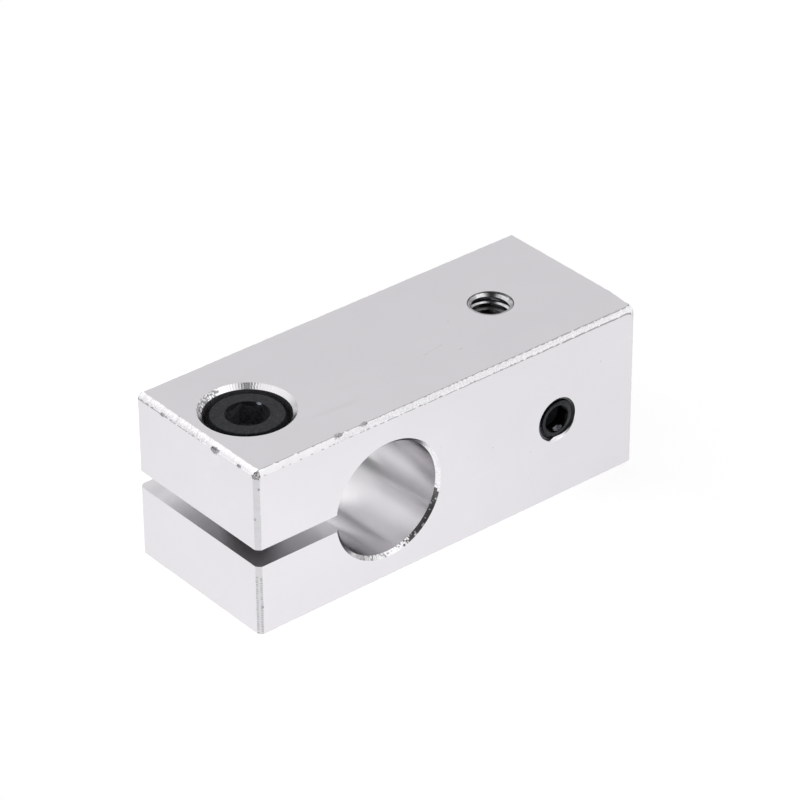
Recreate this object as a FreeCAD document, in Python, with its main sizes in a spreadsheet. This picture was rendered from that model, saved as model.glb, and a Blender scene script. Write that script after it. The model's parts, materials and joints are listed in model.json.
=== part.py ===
import FreeCAD, Part
import math
import os
import Sketcher

# Split shaft clamp: one machined block that grips a cross shaft in a slit bore and takes a second shaft in its end.
# Frame: origin under the middle of the block, +X from the slit end to the bored end, +Z up, front face at -Y.

# Driving dimensions, in millimetres, degrees and counts.
driving_sizes = [
    ("block_length", 51.0, "block along X"),
    ("block_width", 20.0, "block along Y"),
    ("block_height", 20.0, "block along Z"),
    ("edge_chamfer", 0.5, "broken outer edges of the block"),
    ("cross_shaft_diameter", 13.0, "shaft gripped by the jaws"),
    ("end_shaft_diameter", 13.0, "shaft held in the end bore"),
    ("bore_clearance", 0.02, "radial clearance of both shafts"),
    ("bore_rim", 0.4, "chamfer at the mouths of both bores"),
    ("jaw_axis_height", 9.7, "cross bore axis and middle of the slit, above the base"),
    ("end_axis_height", 10.0, "end bore axis above the base"),
    ("slit_width", 2.0, "gap between the jaws"),
    ("screw_from_end", 6.75, "clamp screw axis from the slit end"),
    ("screw_to_bore", 3.73, "clamp screw axis to the wall of the cross bore"),
    ("web_between_bores", 3.56, "metal left between the cross bore and the drill point"),
    ("drill_point_angle", 118.0, "full angle of the cone at the bottom of the end bore"),
    ("top_tap_from_end", 11.75, "top tapped hole from the bored end"),
    ("side_tap_from_end", 11.0, "set screw hole from the bored end"),
    ("thread_diameter", 5.0, "outer diameter of every tapped thread"),
    ("thread_pitch", 0.8, "pitch of every thread"),
    ("thread_clearance", 0.05, "radial clearance of a screw in its tapped hole"),
    ("tap_rim", 0.1, "countersink at the mouth of each tapped hole that holds a screw"),
    ("top_tap_rim", 0.3, "countersink at the mouth of the top tapped hole"),
    ("screw_hole_clearance", 0.25, "radial clearance of the clamp screw in the upper jaw"),
    ("head_diameter", 8.5, "clamp screw head"),
    ("head_height", 5.0, "clamp screw head"),
    ("head_chamfer", 0.45, "upper edge of the clamp screw head"),
    ("head_recess", 0.5, "clamp screw head below the top face"),
    ("counterbore_clearance", 0.4, "radial clearance round the clamp screw head"),
    ("counterbore_rim", 0.5, "chamfer at the mouth of the counterbore"),
    ("clamp_screw_length", 12.0, "clamp screw below its head"),
    ("clamp_key", 4.0, "hexagon key of the clamp screw, across flats"),
    ("clamp_key_depth", 2.5, "straight depth of the clamp screw socket"),
    ("clamp_key_turn", 21.0, "socket corner from +X"),
    ("knurl_count", 40, "grooves round the clamp screw head"),
    ("knurl_depth", 0.15, "depth of each knurl groove"),
    ("knurl_margin", 0.5, "plain band below the knurl"),
    ("set_screw_length", 3.0, "set screw, overall"),
    ("set_screw_recess", 0.1, "set screw below the front face"),
    ("set_screw_key", 2.5, "hexagon key of the set screw, across flats"),
    ("set_screw_key_depth", 1.4, "straight depth of the set screw socket"),
    ("set_screw_key_turn", 30.0, "socket corner from +X"),
    ("screw_end_chamfer", 0.4, "ends of both threads"),
    ("socket_rim", 0.1, "countersink of each socket beyond its corners"),
    ("socket_mouth_angle", 90.0, "full angle of the countersink of each socket"),
    ("socket_cone_angle", 120.0, "full angle of the cone at the bottom of each socket"),
]

doc = FreeCAD.newDocument("shaft_clamp")
sheet = doc.addObject("Spreadsheet::Sheet", "dims")
for row, (alias, size, meaning) in enumerate(driving_sizes, start=1):
    sheet.set(f"A{row}", str(size))
    sheet.setAlias(f"A{row}", alias)
    sheet.set(f"B{row}", meaning)
doc.recompute()

# Radii and places that several features share, as expressions of the driving dimensions.
left_end = "(-dims.block_length / 2)"
right_end = "(dims.block_length / 2)"
front_face = "(-dims.block_width / 2)"
back_face = "(dims.block_width / 2)"
cross_radius = "(dims.cross_shaft_diameter / 2 + dims.bore_clearance)"
end_radius = "(dims.end_shaft_diameter / 2 + dims.bore_clearance)"
thread_radius = "(dims.thread_diameter / 2)"
tap_radius = "((dims.thread_diameter - dims.thread_pitch) / 2)"
screw_radius = f"({thread_radius} - dims.thread_clearance)"
screw_x = f"({left_end} + dims.screw_from_end)"
cross_x = f"({screw_x} + dims.screw_to_bore + {cross_radius})"
top_tap_x = f"({right_end} - dims.top_tap_from_end)"
side_tap_x = f"({right_end} - dims.side_tap_from_end)"
head_seat = "(dims.block_height - dims.head_recess - dims.head_height)"
drill_cone = f"({end_radius} / tan(dims.drill_point_angle / 2 * 1 deg))"
drill_point_x = f"({cross_x} + {cross_radius} + dims.web_between_bores)"


def origin_feature(body, role):
    return next(feature for feature in body.Origin.OriginFeatures if feature.Role == role)


# A sketch on one of the body's origin planes, its own origin shifted by three expressions.
def add_sketch(body, name, plane, shift):
    sketch = body.newObject("Sketcher::SketchObject", name)
    sketch.AttachmentSupport = [(origin_feature(body, plane), "")]
    sketch.MapMode = "FlatFace"
    for axis, expression in zip("xyz", shift):
        sketch.setExpression(f"AttachmentOffset.Base.{axis}", expression)
    return sketch


# A closed outline of straight edges. It starts as a regular polygon round the sketch's origin, and two
# expressions for each corner, tied to the sketch's axes, pull it into shape.
def draw_outline(sketch, points):
    count = len(points)
    start_radius = 1.0
    turns = [2 * math.pi * i / count for i in range(count)]
    corners = [FreeCAD.Vector(start_radius * math.cos(turn), start_radius * math.sin(turn), 0) for turn in turns]
    for i, corner in enumerate(corners):
        sketch.addGeometry(Part.LineSegment(corner, corners[(i + 1) % count]), False)
    for i in range(count):
        sketch.addConstraint(Sketcher.Constraint("Coincident", i, 2, (i + 1) % count, 1))
    for i, (x, y) in enumerate(points):
        for kind, axis, expression in (("DistanceX", -2, x), ("DistanceY", -1, y)):
            if expression == "0":
                sketch.addConstraint(Sketcher.Constraint("PointOnObject", i, 1, axis))
            else:
                distance = Sketcher.Constraint(kind, -1, 1, i, 1, start_radius)
                index = sketch.addConstraint(distance)
                sketch.setExpression(f"Constraints[{index}]", expression)


def rectangle(low_x, low_y, high_x, high_y):
    return [(low_x, low_y), (high_x, low_y), (high_x, high_y), (low_x, high_y)]


def hexagon(across_flats, turn):
    corner_radius = f"{across_flats} / sqrt(3)"
    angles = [f"({turn} + {60 * i}) * 1 deg" for i in range(6)]
    return [(f"{corner_radius} * cos({angle})", f"{corner_radius} * sin({angle})") for angle in angles]


# A turned feature: the outline goes once round the sketch's own axis, adding or cutting.
def turn_profile(body, kind, name, plane, shift, axis, points):
    sketch = add_sketch(body, name + "_profile", plane, shift)
    draw_outline(sketch, points)
    feature = body.newObject("PartDesign::" + kind, name)
    feature.Profile = sketch
    feature.ReferenceAxis = (sketch, [axis])
    feature.Angle = 360
    body.Tip = feature
    return feature


# A broached hexagon socket in the top of a screw, with a countersunk mouth and a conical bottom.
def cut_socket(body, top, key, depth, turn):
    sketch = add_sketch(body, "socket_outline", "XY_Plane", ("0", "0", top))
    draw_outline(sketch, hexagon(key, turn))
    pocket = body.newObject("PartDesign::Pocket", "socket")
    pocket.Profile = sketch
    pocket.setExpression("Length", depth)
    mouth = f"{key} / sqrt(3) + dims.socket_rim"
    mouth_slope = "tan(dims.socket_mouth_angle / 2 * 1 deg)"
    cone_slope = "tan(dims.socket_cone_angle / 2 * 1 deg)"
    floor = f"{top} - {depth}"
    mouth_points = [("0", top), (mouth, top), ("0", f"{top} - ({mouth}) / {mouth_slope}")]
    turn_profile(body, "Groove", "socket_mouth", "XZ_Plane", ("0", "0", "0"), "V_Axis", mouth_points)
    cone_points = [("0", floor), (f"{key} / 2", floor), ("0", f"{floor} - {key} / 2 / {cone_slope}")]
    turn_profile(body, "Groove", "socket_cone", "XZ_Plane", ("0", "0", "0"), "V_Axis", cone_points)


def new_body(label):
    body = doc.addObject("PartDesign::Body", label)
    body.Label = label
    return body


# The block: a length of square bar with every outer edge broken.
clamp_body = new_body("clamp_body")
bar_outline = add_sketch(clamp_body, "bar_outline", "XY_Plane", ("0", "0", "0"))
draw_outline(bar_outline, rectangle(left_end, front_face, right_end, back_face))
bar = clamp_body.newObject("PartDesign::Pad", "bar")
bar.Profile = bar_outline
bar.setExpression("Length", "dims.block_height")
doc.recompute()
broken_edges = clamp_body.newObject("PartDesign::Chamfer", "broken_edges")
broken_edges.Base = (bar, [f"Edge{i + 1}" for i in range(len(bar.Shape.Edges))])
broken_edges.UseAllEdges = True
broken_edges.setExpression("Size", "dims.edge_chamfer")
clamp_body.Tip = broken_edges

# Cross bore from face to face, chamfered at both mouths.
turn_profile(
    clamp_body, "Groove", "cross_bore", "XY_Plane", (cross_x, "0", "dims.jaw_axis_height"), "V_Axis",
    [
        ("0", front_face),
        (f"{cross_radius} + dims.bore_rim", front_face),
        (cross_radius, f"{front_face} + dims.bore_rim"),
        (cross_radius, f"{back_face} - dims.bore_rim"),
        (f"{cross_radius} + dims.bore_rim", back_face),
        ("0", back_face),
    ],
)

# The slit runs from the end of the block into the cross bore and leaves two jaws.
slit_outline = add_sketch(clamp_body, "slit_outline", "XZ_Plane", ("0", "dims.jaw_axis_height", "0"))
draw_outline(slit_outline, rectangle(left_end, "-dims.slit_width / 2", cross_x, "dims.slit_width / 2"))
slit = clamp_body.newObject("PartDesign::Pocket", "slit")
slit.Profile = slit_outline
slit.Type = "ThroughAll"
slit.SideType = "Symmetric"
clamp_body.Tip = slit

# Clamp screw hole: tapped through the lower jaw, clear through the upper jaw, counterbored for the head.
turn_profile(
    clamp_body, "Groove", "clamp_screw_hole", "XZ_Plane", (screw_x, "0", "0"), "V_Axis",
    [
        ("0", "0"),
        (f"{thread_radius} + dims.tap_rim", "0"),
        (thread_radius, "dims.tap_rim"),
        (thread_radius, "dims.jaw_axis_height"),
        (f"{thread_radius} + dims.screw_hole_clearance", "dims.jaw_axis_height"),
        (f"{thread_radius} + dims.screw_hole_clearance", head_seat),
        ("dims.head_diameter / 2 + dims.counterbore_clearance", head_seat),
        (
            "dims.head_diameter / 2 + dims.counterbore_clearance",
            "dims.block_height - dims.counterbore_rim",
        ),
        (
            "dims.head_diameter / 2 + dims.counterbore_clearance + dims.counterbore_rim",
            "dims.block_height",
        ),
        ("0", "dims.block_height"),
    ],
)

# Blind end bore with a chamfered mouth and a drill point.
turn_profile(
    clamp_body, "Groove", "end_bore", "XZ_Plane", ("0", "dims.end_axis_height", "0"), "H_Axis",
    [
        (right_end, "0"),
        (right_end, f"{end_radius} + dims.bore_rim"),
        (f"{right_end} - dims.bore_rim", end_radius),
        (f"{drill_point_x} + {drill_cone}", end_radius),
        (drill_point_x, "0"),
    ],
)

# Tapped hole in the top face, at its crest diameter, down into the end bore.
turn_profile(
    clamp_body, "Groove", "top_tapped_hole", "XZ_Plane", (top_tap_x, "0", "0"), "V_Axis",
    [
        ("0", "dims.end_axis_height"),
        (tap_radius, "dims.end_axis_height"),
        (tap_radius, "dims.block_height - dims.top_tap_rim"),
        (f"{tap_radius} + dims.top_tap_rim", "dims.block_height"),
        ("0", "dims.block_height"),
    ],
)

# Set screw hole in the front face, filled by the screw's thread, into the end bore.
turn_profile(
    clamp_body, "Groove", "side_tapped_hole", "XY_Plane", (side_tap_x, "0", "dims.end_axis_height"), "V_Axis",
    [
        ("0", front_face),
        (f"{thread_radius} + dims.tap_rim", front_face),
        (thread_radius, f"{front_face} + dims.tap_rim"),
        (thread_radius, "0"),
        ("0", "0"),
    ],
)

# Socket head cap screw, its own origin in the middle of the bearing face under the head.
clamp_screw = new_body("clamp_screw")
turn_profile(
    clamp_screw, "Revolution", "blank", "XZ_Plane", ("0", "0", "0"), "V_Axis",
    [
        ("0", "dims.head_height"),
        ("dims.head_diameter / 2 - dims.head_chamfer", "dims.head_height"),
        ("dims.head_diameter / 2", "dims.head_height - dims.head_chamfer"),
        ("dims.head_diameter / 2", "0"),
        (screw_radius, "0"),
        (screw_radius, "dims.screw_end_chamfer - dims.clamp_screw_length"),
        (f"{screw_radius} - dims.screw_end_chamfer", "-dims.clamp_screw_length"),
        ("0", "-dims.clamp_screw_length"),
    ],
)
cut_socket(clamp_screw, "dims.head_height", "dims.clamp_key", "dims.clamp_key_depth", "dims.clamp_key_turn")

# Straight knurl: one V groove up the side of the head, repeated round the axis.
groove_outline = add_sketch(clamp_screw, "knurl_outline", "XY_Plane", ("0", "0", "dims.knurl_margin"))
draw_outline(
    groove_outline,
    [
        ("dims.head_diameter / 2 - dims.knurl_depth", "0"),
        ("dims.head_diameter / 2 + dims.knurl_depth", "-2 * dims.knurl_depth"),
        ("dims.head_diameter / 2 + dims.knurl_depth", "2 * dims.knurl_depth"),
    ],
)
knurl_groove = clamp_screw.newObject("PartDesign::Pocket", "knurl_groove")
knurl_groove.Profile = groove_outline
knurl_groove.setExpression("Length", "dims.head_height")
knurl_groove.Reversed = True
doc.recompute()
knurl = clamp_screw.newObject("PartDesign::PolarPattern", "knurl")
knurl.Originals = [knurl_groove]
knurl.Axis = (origin_feature(clamp_screw, "Z_Axis"), [""])
knurl.Angle = 360
knurl.setExpression("Occurrences", "dims.knurl_count")
clamp_screw.Tip = knurl
clamp_screw.setExpression("Placement.Base.x", screw_x)
clamp_screw.setExpression("Placement.Base.z", head_seat)

# Hexagon socket set screw with a flat point, its own origin in the middle of its outer end.
side_set_screw = new_body("side_set_screw")
turn_profile(
    side_set_screw, "Revolution", "blank", "XZ_Plane", ("0", "0", "0"), "V_Axis",
    [
        ("0", "0"),
        (f"{screw_radius} - dims.screw_end_chamfer", "0"),
        (screw_radius, "-dims.screw_end_chamfer"),
        (screw_radius, "dims.screw_end_chamfer - dims.set_screw_length"),
        (f"{screw_radius} - dims.screw_end_chamfer", "-dims.set_screw_length"),
        ("0", "-dims.set_screw_length"),
    ],
)
cut_socket(side_set_screw, "0", "dims.set_screw_key", "dims.set_screw_key_depth", "dims.set_screw_key_turn")
quarter_turn = FreeCAD.Rotation(FreeCAD.Vector(1, 0, 0), 90)
side_set_screw.Placement = FreeCAD.Placement(FreeCAD.Vector(), quarter_turn)
side_set_screw.setExpression("Placement.Base.x", side_tap_x)
side_set_screw.setExpression("Placement.Base.y", f"{front_face} + dims.set_screw_recess")
side_set_screw.setExpression("Placement.Base.z", "dims.end_axis_height")

doc.recompute()
for item in doc.Objects:
    if "Invalid" in item.State or "Error" in item.State:
        raise RuntimeError(f"{item.Label} did not build: {item.State}")

bodies = [clamp_body, clamp_screw, side_set_screw]
for body in bodies:
    if body.Shape.isNull() or not body.Shape.isValid() or len(body.Shape.Solids) != 1:
        raise RuntimeError(f"{body.Label} is not one valid solid")

os.makedirs("parts", exist_ok=True)
for body in bodies:
    box = body.Shape.BoundBox
    print(f"{body.Label}: {box.XLength:.2f} x {box.YLength:.2f} x {box.ZLength:.2f} mm, {body.Shape.Volume:.1f} mm3")
    body.Shape.exportStep(f"parts/{body.Label}.step")
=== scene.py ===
import json
import math
from itertools import combinations, product

import bmesh
import bpy
from mathutils import Matrix, Vector, noise


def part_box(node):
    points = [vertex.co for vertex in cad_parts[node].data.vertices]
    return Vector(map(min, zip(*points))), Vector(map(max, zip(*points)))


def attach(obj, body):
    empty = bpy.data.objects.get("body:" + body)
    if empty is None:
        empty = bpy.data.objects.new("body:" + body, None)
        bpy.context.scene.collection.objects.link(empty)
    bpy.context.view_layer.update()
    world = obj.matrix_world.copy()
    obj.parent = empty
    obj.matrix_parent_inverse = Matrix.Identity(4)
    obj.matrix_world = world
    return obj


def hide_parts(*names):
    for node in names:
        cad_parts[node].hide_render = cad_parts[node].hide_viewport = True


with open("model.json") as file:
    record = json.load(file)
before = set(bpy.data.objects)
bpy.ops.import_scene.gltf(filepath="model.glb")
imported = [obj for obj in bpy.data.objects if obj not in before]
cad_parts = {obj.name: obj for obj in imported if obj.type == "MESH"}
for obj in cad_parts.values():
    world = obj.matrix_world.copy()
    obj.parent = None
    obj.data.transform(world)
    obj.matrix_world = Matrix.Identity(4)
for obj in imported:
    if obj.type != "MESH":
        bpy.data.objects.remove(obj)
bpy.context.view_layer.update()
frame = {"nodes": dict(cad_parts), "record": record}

# Everything is drawn in millimetres and scaled to metres when a mesh is done.
millimetre = 0.001
overrun = 1.0  # how far a cutter runs past a face
mounts = {mount["name"]: mount for mount in frame["record"]["mounts"]}
print("frame loaded:", ", ".join(sorted(frame["nodes"])))

def nodeBox(node):
    low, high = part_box(node)
    return Vector(low) / millimetre, Vector(high) / millimetre

def mountPlace(name):
    return Vector(mounts[name]["pos_m"]) / millimetre

def mountSize(name, size):
    return mounts[name]["dims"][size]

blockLow, blockHigh = nodeBox("clamp_body")
screwLow, screwHigh = nodeBox("clamp_screw")
setLow, setHigh = nodeBox("side_set_screw")
crossAxis = mountPlace("cross_bore")
endAxis = mountPlace("end_bore")
tapAxis = mountPlace("top_tapped_hole")
screwAxis = (screwLow + screwHigh) / 2
setAxis = (setLow + setHigh) / 2
headRadius = (screwHigh.x - screwLow.x) / 2

# Mesh tools

# Smooth unevenness about 0, the same each time for the same place.
def uneven(x, y, z):
    return noise.noise(Vector((x, y, z)))

# A finish is a slot, or a function of the angle or the height that gives one.
def slotAt(finish, where):
    return finish(where) if callable(finish) else finish

# Closes a loop of vertices with a fan of triangles round a middle.
def closeFan(bm, loop, middle, slot=0):
    centre = bm.verts.new(middle)
    for here, there in zip(loop, loop[1:] + loop[:1]):
        bm.faces.new((here, there, centre)).material_index = slot

# Turns a profile of (radius, height) points round Z; sway moves a point in or out by its row and angle.
def turnedSolid(profile, segments, finishes, sway=None):
    bm = bmesh.new()
    rings = []
    for row, (radius, height) in enumerate(profile):
        if radius == 0:
            rings.append([bm.verts.new((0, 0, height))])
            continue
        ring = []
        for i in range(segments):
            angle = 2 * math.pi * i / segments
            reach = radius + (sway(row, angle) if sway else 0)
            ring.append(bm.verts.new((reach * math.cos(angle), reach * math.sin(angle), height)))
        rings.append(ring)
    for row, (lower, upper) in enumerate(zip(rings, rings[1:])):
        for i in range(segments):
            j = (i + 1) % segments
            corners = [lower[i % len(lower)], lower[j % len(lower)],
                       upper[j % len(upper)], upper[i % len(upper)]]
            face = bm.faces.new(list(dict.fromkeys(corners)))
            face.material_index = slotAt(finishes[row], 2 * math.pi * i / segments)
    bmesh.ops.recalc_face_normals(bm, faces=bm.faces)
    return bm

# The threads of the screws and holes. Shares of a pitch: where the crest ends, and the root starts and ends.
threadForm = {
    "pitch": 0.8,
    "segments": 96,
    "shares": (0.125, 0.39, 0.56),
    "tapOuter": 2.52,  # bottom of the tapped groove
    "tapInner": 2.1,  # crest of the tapped thread
    "rodOuter": 2.45,
    "rodInner": 1.99,
    "rodEnd": 1.98,  # radius at a screw's end
    "topOuter": 2.42,  # the empty hole in the top face has a finer groove
    "topShares": (0.125, 0.36, 0.66),
    "topGroove": 0.12,  # first groove below the top face, on the wall far from the front left corner
    "farAngle": 50.5,
    # Painted shade: the threads below the next depth are painted near black for the shade deep in the hole,
    # not for dirt or oil.
    "cleanDepth": 1.25,  # threads below this hold dirt and oil
}

# A right-hand thread on a rod. The rows of vertices follow the helix, so its edges stay clean.
# crestAt is the height of a crest at angle 0, and limit(height) is the largest radius allowed there.
def threadedRod(outer, inner, bottom, top, crestAt, finish, shares=threadForm["shares"], limit=None):
    pitch = threadForm["pitch"]
    segments = threadForm["segments"]
    steps = list(zip((0.0,) + shares, (outer, outer, inner, inner)))
    perTurn = len(steps)
    firstTurn = math.floor((bottom - crestAt) / pitch) - 2
    lastTurn = math.ceil((top - crestAt) / pitch) + 1
    bm = bmesh.new()
    rows = []
    for turn in range(firstTurn, lastTurn):
        for share, radius in steps:
            row = []
            for i in range(segments):
                angle = 2 * math.pi * i / segments
                height = crestAt + pitch * (turn + share - shares[0] / 2 + i / segments)
                reach = radius
                if limit:
                    height = min(max(height, bottom), top)
                    reach = min(radius, limit(height))
                row.append(bm.verts.new((reach * math.cos(angle), reach * math.sin(angle), height)))
            rows.append(row)
    last = len(rows) - 1
    for r in range(last):
        for i in range(segments - 1):
            bm.faces.new((rows[r][i], rows[r][i + 1], rows[r + 1][i + 1], rows[r + 1][i]))
        if r + 1 + perTurn <= last:
            bm.faces.new((rows[r][-1], rows[r + perTurn][0], rows[r + perTurn + 1][0], rows[r + 1][-1]))
    lowLoop = rows[0] + [rows[r][0] for r in range(perTurn, 0, -1)]
    highLoop = rows[last] + [rows[r][-1] for r in range(last - 1, last - perTurn - 1, -1)]
    for loop, height in ((lowLoop, bottom), (highLoop, top)):
        if not limit:
            height = sum(vert.co.z for vert in loop) / len(loop)
        closeFan(bm, loop, (0, 0, height))
    bmesh.ops.remove_doubles(bm, verts=bm.verts, dist=1e-5)
    bmesh.ops.dissolve_degenerate(bm, edges=bm.edges, dist=1e-6)
    bmesh.ops.recalc_face_normals(bm, faces=bm.faces)
    for face in bm.faces:
        face.material_index = slotAt(finish, face.calc_center_median().z)
    return bm

# A prism between two heights from corners given round its axis.
def prism(outline, bottom, top, slot):
    bm = bmesh.new()
    lower = [bm.verts.new((x, y, bottom)) for x, y in outline]
    upper = [bm.verts.new((x, y, top)) for x, y in outline]
    count = len(outline)
    bm.faces.new(lower)
    bm.faces.new(upper)
    for i in range(count):
        j = (i + 1) % count
        bm.faces.new((lower[i], lower[j], upper[j], upper[i]))
    bmesh.ops.recalc_face_normals(bm, faces=bm.faces)
    for face in bm.faces:
        face.material_index = slot
    return bm

def hexagon(acrossFlats, turn, cornerRadius, steps=4):
    middle = acrossFlats / math.sqrt(3) - cornerRadius * 2 / math.sqrt(3)
    outline = []
    for corner in range(6):
        direction = math.radians(turn + 60 * corner)
        for step in range(steps + 1):
            angle = direction + math.radians(60 * (step / steps - 0.5))
            x = middle * math.cos(direction) + cornerRadius * math.cos(angle)
            y = middle * math.sin(direction) + cornerRadius * math.sin(angle)
            outline.append((x, y))
    return outline

def makeObject(name, bm, materials, place=Matrix.Identity(4)):
    bm.transform(place)
    mesh = bpy.data.meshes.new(name)
    bm.to_mesh(mesh)
    bm.free()
    for material in materials:
        mesh.materials.append(material)
    made = bpy.data.objects.new(name, mesh)
    bpy.context.scene.collection.objects.link(made)
    return made

# Joins shapes to a piece and then cuts others out of it, in order; a shape is a mesh and its place.
def carve(target, cuts, joins=()):
    tools = []
    steps = [("UNION", shape) for shape in joins] + [("DIFFERENCE", shape) for shape in cuts]
    for operation, (bm, place) in steps:
        tool = makeObject("tool", bm, list(target.data.materials), place)
        step = target.modifiers.new(operation, "BOOLEAN")
        step.operation = operation
        step.solver = "MANIFOLD"
        step.material_mode = "INDEX"
        step.object = tool
        tools.append(tool)
    done = target.evaluated_get(bpy.context.evaluated_depsgraph_get())
    mesh = bpy.data.meshes.new_from_object(done)
    target.modifiers.clear()
    rough = target.data
    target.data = mesh
    mesh.name = rough.name
    bpy.data.meshes.remove(rough)
    for tool in tools:
        bpy.data.meshes.remove(tool.data)

# Scales a drawn mesh to metres and shades it smooth between its sharp edges; flat faces keep sharp borders.
def finishMesh(target, sharpAngle=30.0, flatSlot=None):
    mesh = target.data
    mesh.transform(Matrix.Scale(millimetre, 4))
    mesh.polygons.foreach_set("use_smooth", [True] * len(mesh.polygons))
    mesh.set_sharp_from_angle(angle=math.radians(sharpAngle))
    for polygon in mesh.polygons:
        if polygon.material_index == flatSlot:
            for corner in polygon.loop_indices:
                mesh.edges[mesh.loops[corner].edge_index].use_edge_sharp = True
    mesh.update()
    print(f"{target.name}: {len(mesh.polygons)} faces, {len(mesh.vertices)} vertices")

def standOn(x, y, z):
    return Matrix.Translation((x, y, z))

alongX = Matrix.Rotation(math.radians(90), 4, "Y")  # local +Z to +X
towardsFront = Matrix.Rotation(math.radians(90), 4, "X")  # local +Z to -Y
screwPlace = standOn(screwAxis.x, screwAxis.y, 0)
setPlace = standOn(setAxis.x, 0, setAxis.z) @ towardsFront

# Material tools

def newMaterial(name):
    material = bpy.data.materials.new(name)
    material.use_nodes = True
    tree = material.node_tree
    return material, tree, tree.nodes["Principled BSDF"]

# A node group with its inputs and their defaults, a tuple for a vector, and its outputs.
def newGroup(name, inputs, outputs):
    tree = bpy.data.node_groups.new(name, "ShaderNodeTree")
    for label, value in inputs.items():
        kind = "NodeSocketVector" if isinstance(value, tuple) else "NodeSocketFloat"
        tree.interface.new_socket(label, in_out="INPUT", socket_type=kind).default_value = value
    for label in outputs:
        tree.interface.new_socket(label, in_out="OUTPUT", socket_type="NodeSocketFloat")
    return tree, tree.nodes.new("NodeGroupInput").outputs, tree.nodes.new("NodeGroupOutput").inputs

def addNode(tree, kind, values=None, **settings):
    node = tree.nodes.new("ShaderNode" + kind)
    for key, value in settings.items():
        setattr(node, key, value)
    for label, value in (values or {}).items():
        if isinstance(value, bpy.types.NodeSocket):
            tree.links.new(value, node.inputs[label])
        else:
            node.inputs[label].default_value = value
    return node

def placeGroup(tree, group, values):
    return addNode(tree, "Group", values, node_tree=group).outputs

def calculate(tree, operation, first, second):
    return addNode(tree, "Math", {0: first, 1: second}, operation=operation).outputs[0]

def mapTo(tree, source, low, high, fromLow=0.0, fromHigh=1.0, **settings):
    values = {"Value": source, "From Min": fromLow, "From Max": fromHigh, "To Min": low, "To Max": high}
    return addNode(tree, "MapRange", values, **settings).outputs["Result"]

# Inputs 6 and 7 of a mix are its colours, and output 2 is the mixed one.
def mixTones(tree, factor, first, second):
    return addNode(tree, "Mix", {0: factor, 6: first, 7: second}, data_type="RGBA").outputs[2]

def objectPlace(tree):
    return addNode(tree, "TexCoord").outputs["Object"]

# The scale of a texture from the size of its features in millimetres.
def scaleFor(tree, size):
    return calculate(tree, "DIVIDE", 1 / millimetre, size)

def noiseAt(tree, place, scale, detail):
    return addNode(tree, "TexNoise", {"Vector": place, "Scale": scale, "Detail": detail}).outputs["Fac"]

# Fine satin grain and broad clouding, both about 0.5 on average.
def makeGrainGroup():
    tree, given, out = newGroup("satinGrain", {"Grain Size": 0.1, "Cloud Size": 6.0}, ("Grain", "Cloud"))
    place = objectPlace(tree)
    for label, size, detail in (("Grain", "Grain Size", 3.0), ("Cloud", "Cloud Size", 2.0)):
        tree.links.new(noiseAt(tree, place, scaleFor(tree, given[size]), detail), out[label])
    return tree

# Fine grooves left by a tool, even along one direction and uneven across it.
def makeToolGroup():
    tree, given, out = newGroup("toolMarks", {"Across": (0.0, 1.0, 0.0), "Spacing": 0.08}, ("Marks",))
    along = addNode(tree, "VectorMath", {0: objectPlace(tree), 1: given["Across"]}, operation="MULTIPLY")
    tree.links.new(noiseAt(tree, along.outputs[0], scaleFor(tree, given["Spacing"]), 2.0), out["Marks"])
    return tree

# Scratches follow a turned, stretched noise. A range is where a noise or distance starts and ends to count.
scuffForm = {
    "scratchTurn": (0.5, 0.35, 0.6),
    "scratchStretch": (60.0, 900.0, 900.0),
    "scratchRange": (0.66, 0.70),
    "patchScale": 130.0,
    "patchRange": (0.52, 0.62),
    "speckRange": (0.05, 0.12),  # millimetres from a speck's middle
}

# Handling wear: a few long faint scratches and scattered specks, both in patches.
def makeScuffGroup():
    inputs = {"Scratch Amount": 0.5, "Speck Amount": 0.5, "Speck Apart": 2.4}
    tree, given, out = newGroup("handlingScuffs", inputs, ("Scratches", "Specks"))
    place = objectPlace(tree)
    lie = {"Vector": place, "Rotation": scuffForm["scratchTurn"], "Scale": scuffForm["scratchStretch"]}
    lines = noiseAt(tree, addNode(tree, "Mapping", lie).outputs[0], 1.0, 1.0)
    thin = mapTo(tree, lines, 0.0, 1.0, *scuffForm["scratchRange"])
    cloud = noiseAt(tree, place, scuffForm["patchScale"], 1.0)
    patch = mapTo(tree, cloud, 0.0, 1.0, *scuffForm["patchRange"])
    apart = given["Speck Apart"]
    dots = addNode(tree, "TexVoronoi", {"Vector": place, "Scale": scaleFor(tree, apart), "Randomness": 1.0})
    away = calculate(tree, "MULTIPLY", dots.outputs["Distance"], apart)
    small = mapTo(tree, away, 1.0, 0.0, *scuffForm["speckRange"])
    for source, amount, label in ((thin, "Scratch Amount", "Scratches"), (small, "Speck Amount", "Specks")):
        patched = calculate(tree, "MULTIPLY", source, patch)
        tree.links.new(calculate(tree, "MULTIPLY", patched, given[amount]), out[label])
    return tree

grainGroup = makeGrainGroup()
toolGroup = makeToolGroup()
scuffGroup = makeScuffGroup()

def grey(level, tint=(1.0, 1.0, 1.0)):
    return tuple(level * part for part in tint) + (1.0,)

def placeGrain(tree, form):
    return placeGroup(tree, grainGroup, {"Grain Size": form["grain"], "Cloud Size": form["cloud"]})

# Specks over a tone, and the scratches that go with them.
def addScuffs(tree, tone, form):
    wear = {"Scratch Amount": form["scratches"], "Speck Amount": form["specks"],
            "Speck Apart": form["speckApart"]}
    scuffs = placeGroup(tree, scuffGroup, wear)
    return mixTones(tree, scuffs["Specks"], tone, grey(form["speckTone"])), scuffs["Scratches"]

def feedShader(tree, shader, tone, roughness, height, depth):
    bump = addNode(tree, "Bump", {"Height": height, "Distance": depth * millimetre})
    for label, source in (("Base Color", tone), ("Roughness", roughness), ("Normal", bump.outputs["Normal"])):
        tree.links.new(source, shader.inputs[label])

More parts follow.
